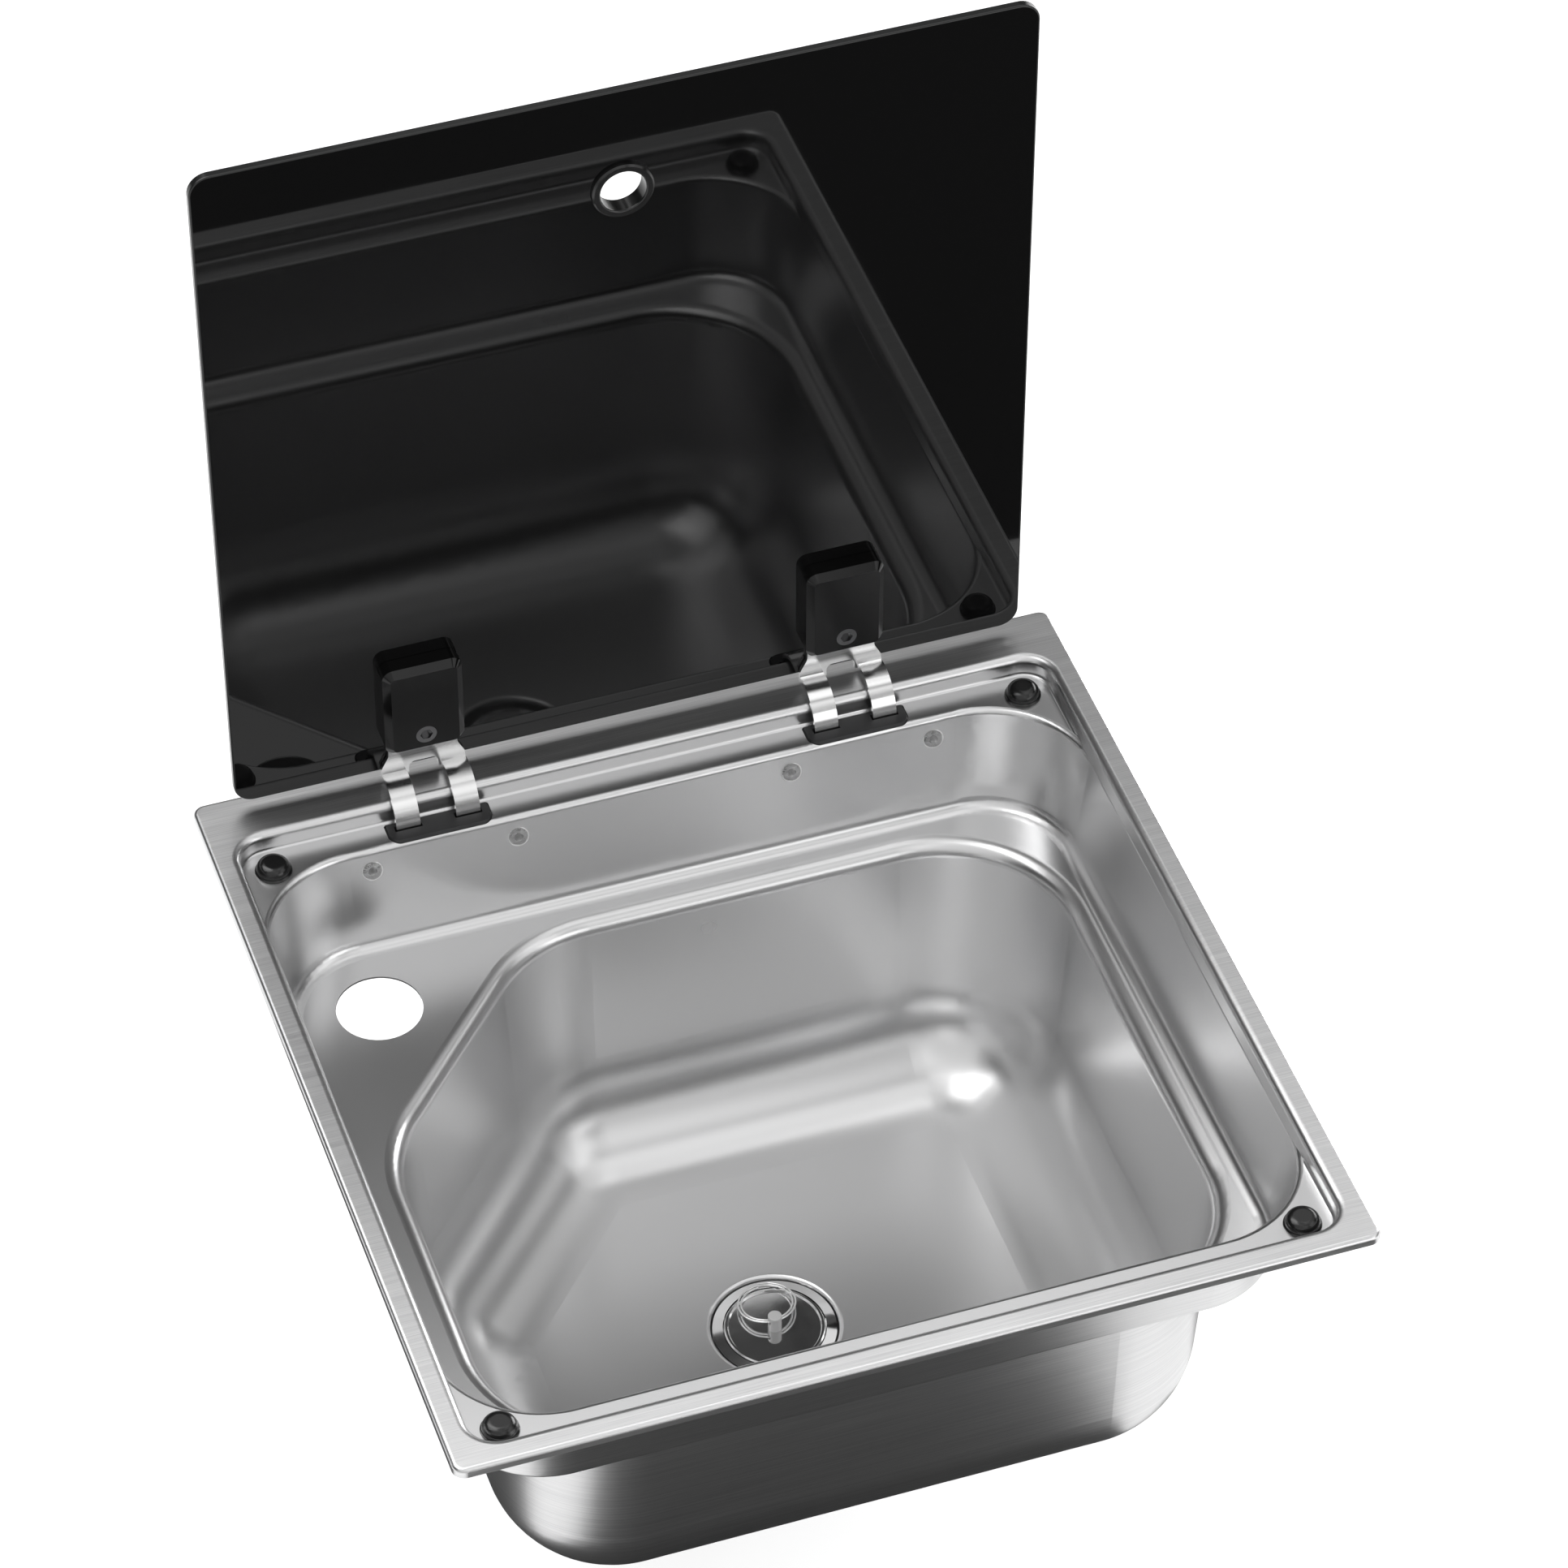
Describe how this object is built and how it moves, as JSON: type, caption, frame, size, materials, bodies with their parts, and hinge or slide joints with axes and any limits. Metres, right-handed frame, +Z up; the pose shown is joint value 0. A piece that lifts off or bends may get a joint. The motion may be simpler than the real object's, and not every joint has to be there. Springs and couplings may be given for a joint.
{
  "type": "drop-in vehicle sink with glass lid",
  "caption": "Square steel drop-in sink with a tap shelf, a lift-out waste plug and a black glass lid that folds down flush on two curved-arm hinges.",
  "frame": {"origin": "middle of the rim at the level of the worktop's top, which the rim seal rests on", "axes": "+X to the right, +Y to the back where the lid hinges, +Z up"},
  "size_m": [0.4, 0.4, 0.6186],
  "materials": {
    "bowl_steel": "fine satin inside, brushed outside",
    "polished_steel": "polished",
    "hinge_chrome": "satin chrome",
    "black_glass": "opaque black, polished, ground edges",
    "gloss_black": "glossy",
    "dark_plastic": "satin",
    "grey_plastic": "moulded",
    "black_rubber": "smooth",
    "foam_seal": "closed-cell foam",
    "clear_plastic": "clear",
    "bond_pad": "bonding tape"
  },
  "bodies": {
    "sink": {"back_nut": "grey_plastic", "bumper_back_left": "black_rubber", "bumper_back_right": "black_rubber", "bumper_front_left": "black_rubber", "bumper_front_right": "black_rubber", "coupling_nut": "grey_plastic", "flange_gasket": "black_rubber", "hinge_housing_left": "dark_plastic", "hinge_housing_right": "dark_plastic", "hose_spigot": "grey_plastic", "pin_clip_left": "polished_steel", "pin_clip_right": "polished_steel", "pivot_pin_left": "polished_steel", "pivot_pin_right": "polished_steel", "rim_seal": "foam_seal", "sink_pressing": "bowl_steel", "slot_insert_left": "dark_plastic", "slot_insert_right": "dark_plastic", "tail_washer": "black_rubber", "under_washer": "black_rubber", "wall_nuts_left": "polished_steel", "wall_nuts_right": "polished_steel", "wall_screws_left": "clear_plastic", "wall_screws_right": "clear_plastic", "waste_body": "polished_steel"},
    "lid": {"clamp_screw_left": "hinge_chrome", "clamp_screw_right": "hinge_chrome", "finger_grip": "black_rubber", "glass_pad_left": "bond_pad", "glass_pad_right": "bond_pad", "hinge_block_left": "gloss_black", "hinge_block_right": "gloss_black", "hinge_bracket_left": "hinge_chrome", "hinge_bracket_right": "hinge_chrome", "lid_glass": "black_glass"},
    "plug": {"plug_plate": "polished_steel", "plug_seal": "black_rubber", "plug_post": "clear_plastic"},
    "ring": {"pull_ring": "polished_steel"}
  },
  "joints": [
    {"name": "lid_hinge", "type": "hinge", "parent": "sink", "child": "lid", "pos_m": [0, 0.1827, -0.0059], "axis": [-1, 0, 0], "range_deg": [-90, 0]},
    {"name": "plug_lift", "type": "slide", "parent": "sink", "child": "plug", "axis": [0, 0, 1], "range_m": [0, 0.06]},
    {"name": "ring_swing", "type": "hinge", "parent": "plug", "child": "ring", "pos_m": [0, -0.0085, -0.1832], "axis": [1, 0, 0], "range_deg": [0, 196.8]}
  ]
}
